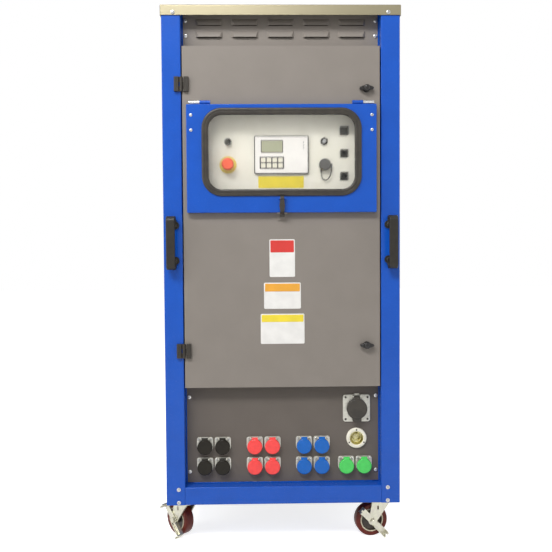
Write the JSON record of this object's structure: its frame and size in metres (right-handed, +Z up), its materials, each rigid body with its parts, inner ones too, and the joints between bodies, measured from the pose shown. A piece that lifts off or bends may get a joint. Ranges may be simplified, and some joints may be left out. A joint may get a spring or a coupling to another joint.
{
  "type": "portable generator load bank",
  "caption": "Tall sheet-metal load bank cabinet on castors, with a hinged control door, a windowed flip cover, capped power sockets and a fan-cooled resistor bank.",
  "frame": {"origin": "on the floor, under the middle of the cabinet", "axes": "+X to the right seen from the front, +Y to the back, +Z up"},
  "size_m": [0.7524, 0.756, 1.631],
  "materials": {
    "blue_paint": "satin blue enamel",
    "door_paint": "fine-textured warm grey powder coat",
    "panel_paint": "darker warm grey powder coat",
    "cap_sheet": "brushed stainless sheet",
    "plate_paint": "cream powder coat",
    "bare_steel": "satin bright steel",
    "zinc_steel": "yellowish zinc plate",
    "galvanised": "galvanised sheet",
    "black_plastic": "moulded black plastic",
    "black_lid": "moulded black plastic",
    "red_lid": "moulded red plastic",
    "blue_lid": "moulded blue plastic",
    "green_lid": "moulded green plastic",
    "stop_red": "glossy red plastic",
    "black_rubber": "soft black rubber",
    "pane": "clear sheet",
    "tread": "maroon tread on a grey iron core",
    "controller_grey": "dark grey plastic",
    "element_steel": "heat-tinted steel tube",
    "contactor_plastic": "dark plastic housings on zinc rail",
    "fan_aluminium": "cast aluminium",
    "receptacle_alloy": "cast zinc alloy, dull",
    "inlet_ivory": "ivory thermoset",
    "hinge_grey": "satin medium grey",
    "motor_paint": "grey enamel"
  },
  "bodies": {
    "cabinet": {"corner_posts": "blue_paint", "frame_rails": "blue_paint", "top_cap": "cap_sheet", "exhaust_guard": "bare_steel", "louvre_panel": "door_paint", "connector_panel": "panel_paint", "outer_panels": "door_paint", "inner_bulkheads": "galvanised", "resistor_bank": "element_steel", "fan_motor": "motor_paint", "switchgear": "contactor_plastic", "grab_handles": "black_plastic", "frame_screws": "bare_steel", "cam_receptacles": "receptacle_alloy", "outlet_body": "receptacle_alloy", "power_inlet": "inlet_ivory", "castor_mounts": "zinc_steel", "hinge_post_halves": "hinge_grey"},
    "door": {"main_door": "door_paint", "hinge_door_halves": "hinge_grey", "control_plate": "plate_paint", "controller": "controller_grey", "controller_keypad": "black_rubber", "panel_fittings": "black_plastic", "cover_hinge_pins": "bare_steel", "strap_keeper": "bare_steel", "cap_tether": "black_rubber"},
    "cover": {"flip_cover": "blue_paint", "window_pane": "pane", "window_gasket": "black_rubber"},
    "strap": {"cover_strap": "black_rubber"},
    "upper_latch": {"upper_latch_knob": "black_plastic"},
    "lower_latch": {"lower_latch_knob": "black_plastic"},
    "port_cap": {"connector_cap": "black_rubber"},
    "stop": {"stop_button": "stop_red"},
    "selector": {"selector_knob": "black_plastic"},
    "outlet_flap": {"outlet_lid": "black_lid"},
    "fan": {"fan_rotor": "fan_aluminium"},
    "front_left_swivel": {"front_left_fork": "zinc_steel"},
    "front_right_swivel": {"front_right_fork": "zinc_steel"},
    "front_left_lever": {"front_left_brake": "zinc_steel"},
    "front_right_lever": {"front_right_brake": "zinc_steel"},
    "front_left_roller": {"front_left_wheel": "tread"},
    "front_right_roller": {"front_right_wheel": "tread"},
    "rear_left_roller": {"rear_left_wheel": "tread"},
    "rear_right_roller": {"rear_right_wheel": "tread"},
    "black_lower_left": {"black_lower_left_lid": "black_lid"},
    "black_lower_right": {"black_lower_right_lid": "black_lid"},
    "black_upper_left": {"black_upper_left_lid": "black_lid"},
    "black_upper_right": {"black_upper_right_lid": "black_lid"},
    "red_lower_left": {"red_lower_left_lid": "red_lid"},
    "red_lower_right": {"red_lower_right_lid": "red_lid"},
    "red_upper_left": {"red_upper_left_lid": "red_lid"},
    "red_upper_right": {"red_upper_right_lid": "red_lid"},
    "blue_lower_left": {"blue_lower_left_lid": "blue_lid"},
    "blue_lower_right": {"blue_lower_right_lid": "blue_lid"},
    "blue_upper_left": {"blue_upper_left_lid": "blue_lid"},
    "blue_upper_right": {"blue_upper_right_lid": "blue_lid"},
    "green_lower_left": {"green_lower_left_lid": "green_lid"},
    "green_lower_right": {"green_lower_right_lid": "green_lid"}
  },
  "joints": [
    {"name": "door_swing", "type": "hinge", "parent": "cabinet", "child": "door", "pos_m": [-0.297, -0.3605, 1], "axis": [0, 0, -1], "range_deg": [0, 105]},
    {"name": "cover_swing", "type": "hinge", "parent": "door", "child": "cover", "pos_m": [0, -0.3695, 1.3405], "axis": [-1, 0, 0], "range_deg": [0, 150]},
    {"name": "strap_swing", "type": "hinge", "parent": "cover", "child": "strap", "pos_m": [0, -0.3845, 1.056], "axis": [-1, 0, 0], "range_deg": [0, 120]},
    {"name": "upper_latch_turn", "type": "hinge", "parent": "door", "child": "upper_latch", "pos_m": [0.254, -0.3555, 1.383], "axis": [0, 1, 0], "range_deg": [0, 90]},
    {"name": "lower_latch_turn", "type": "hinge", "parent": "door", "child": "lower_latch", "pos_m": [0.254, -0.3555, 0.6145], "axis": [0, 1, 0], "range_deg": [0, 90]},
    {"name": "selector_turn", "type": "hinge", "parent": "door", "child": "selector", "pos_m": [-0.1615, -0.3255, 1.231], "axis": [0, 1, 0], "range_deg": [0, 90]},
    {"name": "stop_push", "type": "slide", "parent": "door", "child": "stop", "axis": [0, 1, 0], "range_m": [0, 0.0035], "stiffness_N_per_m": 300},
    {"name": "port_cap_pull", "type": "slide", "parent": "door", "child": "port_cap", "axis": [0, -1, 0], "range_m": [0, 0.012]},
    {"name": "outlet_flap_swing", "type": "hinge", "parent": "cabinet", "child": "outlet_flap", "pos_m": [0.228, -0.3265, 0.45], "axis": [-1, 0, 0], "range_deg": [0, 110], "stiffness_Nm_per_rad": 0.02, "springref_deg": -28.65},
    {"name": "fan_spin", "type": "hinge", "parent": "cabinet", "child": "fan", "pos_m": [0, 0.109, 0.544], "axis": [0, 0, 1], "continuous": true},
    {"name": "black_lower_left_swing", "type": "hinge", "parent": "cabinet", "child": "black_lower_left", "pos_m": [-0.2405, -0.3275, 0.2605], "axis": [-1, 0, 0], "range_deg": [0, 105], "stiffness_Nm_per_rad": 0.005, "springref_deg": -28.65},
    {"name": "black_lower_right_swing", "type": "hinge", "parent": "cabinet", "child": "black_lower_right", "pos_m": [-0.1859, -0.3275, 0.2605], "axis": [-1, 0, 0], "range_deg": [0, 105], "stiffness_Nm_per_rad": 0.005, "springref_deg": -28.65},
    {"name": "black_upper_left_swing", "type": "hinge", "parent": "cabinet", "child": "black_upper_left", "pos_m": [-0.2405, -0.3275, 0.324], "axis": [-1, 0, 0], "range_deg": [0, 105], "stiffness_Nm_per_rad": 0.005, "springref_deg": -28.65},
    {"name": "black_upper_right_swing", "type": "hinge", "parent": "cabinet", "child": "black_upper_right", "pos_m": [-0.1859, -0.3275, 0.324], "axis": [-1, 0, 0], "range_deg": [0, 105], "stiffness_Nm_per_rad": 0.005, "springref_deg": -28.65},
    {"name": "red_lower_left_swing", "type": "hinge", "parent": "cabinet", "child": "red_lower_left", "pos_m": [-0.0871, -0.3275, 0.2605], "axis": [-1, 0, 0], "range_deg": [0, 105], "stiffness_Nm_per_rad": 0.005, "springref_deg": -28.65},
    {"name": "red_lower_right_swing", "type": "hinge", "parent": "cabinet", "child": "red_lower_right", "pos_m": [-0.0325, -0.3275, 0.2605], "axis": [-1, 0, 0], "range_deg": [0, 105], "stiffness_Nm_per_rad": 0.005, "springref_deg": -28.65},
    {"name": "red_upper_left_swing", "type": "hinge", "parent": "cabinet", "child": "red_upper_left", "pos_m": [-0.0871, -0.3275, 0.324], "axis": [-1, 0, 0], "range_deg": [0, 105], "stiffness_Nm_per_rad": 0.005, "springref_deg": -28.65},
    {"name": "red_upper_right_swing", "type": "hinge", "parent": "cabinet", "child": "red_upper_right", "pos_m": [-0.0325, -0.3275, 0.324], "axis": [-1, 0, 0], "range_deg": [0, 105], "stiffness_Nm_per_rad": 0.005, "springref_deg": -28.65},
    {"name": "blue_lower_left_swing", "type": "hinge", "parent": "cabinet", "child": "blue_lower_left", "pos_m": [0.0651, -0.3275, 0.2605], "axis": [-1, 0, 0], "range_deg": [0, 105], "stiffness_Nm_per_rad": 0.005, "springref_deg": -28.65},
    {"name": "blue_lower_right_swing", "type": "hinge", "parent": "cabinet", "child": "blue_lower_right", "pos_m": [0.1197, -0.3275, 0.2605], "axis": [-1, 0, 0], "range_deg": [0, 105], "stiffness_Nm_per_rad": 0.005, "springref_deg": -28.65},
    {"name": "blue_upper_left_swing", "type": "hinge", "parent": "cabinet", "child": "blue_upper_left", "pos_m": [0.0651, -0.3275, 0.324], "axis": [-1, 0, 0], "range_deg": [0, 105], "stiffness_Nm_per_rad": 0.005, "springref_deg": -28.65},
    {"name": "blue_upper_right_swing", "type": "hinge", "parent": "cabinet", "child": "blue_upper_right", "pos_m": [0.1197, -0.3275, 0.324], "axis": [-1, 0, 0], "range_deg": [0, 105], "stiffness_Nm_per_rad": 0.005, "springref_deg": -28.65},
    {"name": "green_lower_left_swing", "type": "hinge", "parent": "cabinet", "child": "green_lower_left", "pos_m": [0.1955, -0.3275, 0.2605], "axis": [-1, 0, 0], "range_deg": [0, 105], "stiffness_Nm_per_rad": 0.005, "springref_deg": -28.65},
    {"name": "green_lower_right_swing", "type": "hinge", "parent": "cabinet", "child": "green_lower_right", "pos_m": [0.2501, -0.3275, 0.2605], "axis": [-1, 0, 0], "range_deg": [0, 105], "stiffness_Nm_per_rad": 0.005, "springref_deg": -28.65},
    {"name": "front_left_swivel_turn", "type": "hinge", "parent": "cabinet", "child": "front_left_swivel", "pos_m": [-0.307, -0.2705, 0.1], "axis": [0, 0, 1], "continuous": true},
    {"name": "front_left_wheel_spin", "type": "hinge", "parent": "front_left_swivel", "child": "front_left_roller", "pos_m": [-0.32821, -0.24929, 0.0508], "axis": [-0.7071, -0.7071, 0], "continuous": true},
    {"name": "front_left_lever_rock", "type": "hinge", "parent": "front_left_swivel", "child": "front_left_lever", "pos_m": [-0.32821, -0.24929, 0.0508], "axis": [-0.7071, -0.7071, 0], "range_deg": [0, 25]},
    {"name": "rear_left_wheel_spin", "type": "hinge", "parent": "cabinet", "child": "rear_left_roller", "pos_m": [-0.307, 0.2705, 0.0508], "axis": [1, 0, 0], "continuous": true},
    {"name": "front_right_swivel_turn", "type": "hinge", "parent": "cabinet", "child": "front_right_swivel", "pos_m": [0.307, -0.2705, 0.1], "axis": [0, 0, 1], "continuous": true},
    {"name": "front_right_wheel_spin", "type": "hinge", "parent": "front_right_swivel", "child": "front_right_roller", "pos_m": [0.27737, -0.27519, 0.0508], "axis": [0.1564, -0.9877, 0], "continuous": true},
    {"name": "front_right_lever_rock", "type": "hinge", "parent": "front_right_swivel", "child": "front_right_lever", "pos_m": [0.27737, -0.27519, 0.0508], "axis": [0.1564, -0.9877, 0], "range_deg": [0, 25]},
    {"name": "rear_right_wheel_spin", "type": "hinge", "parent": "cabinet", "child": "rear_right_roller", "pos_m": [0.307, 0.2705, 0.0508], "axis": [1, 0, 0], "continuous": true}
  ]
}
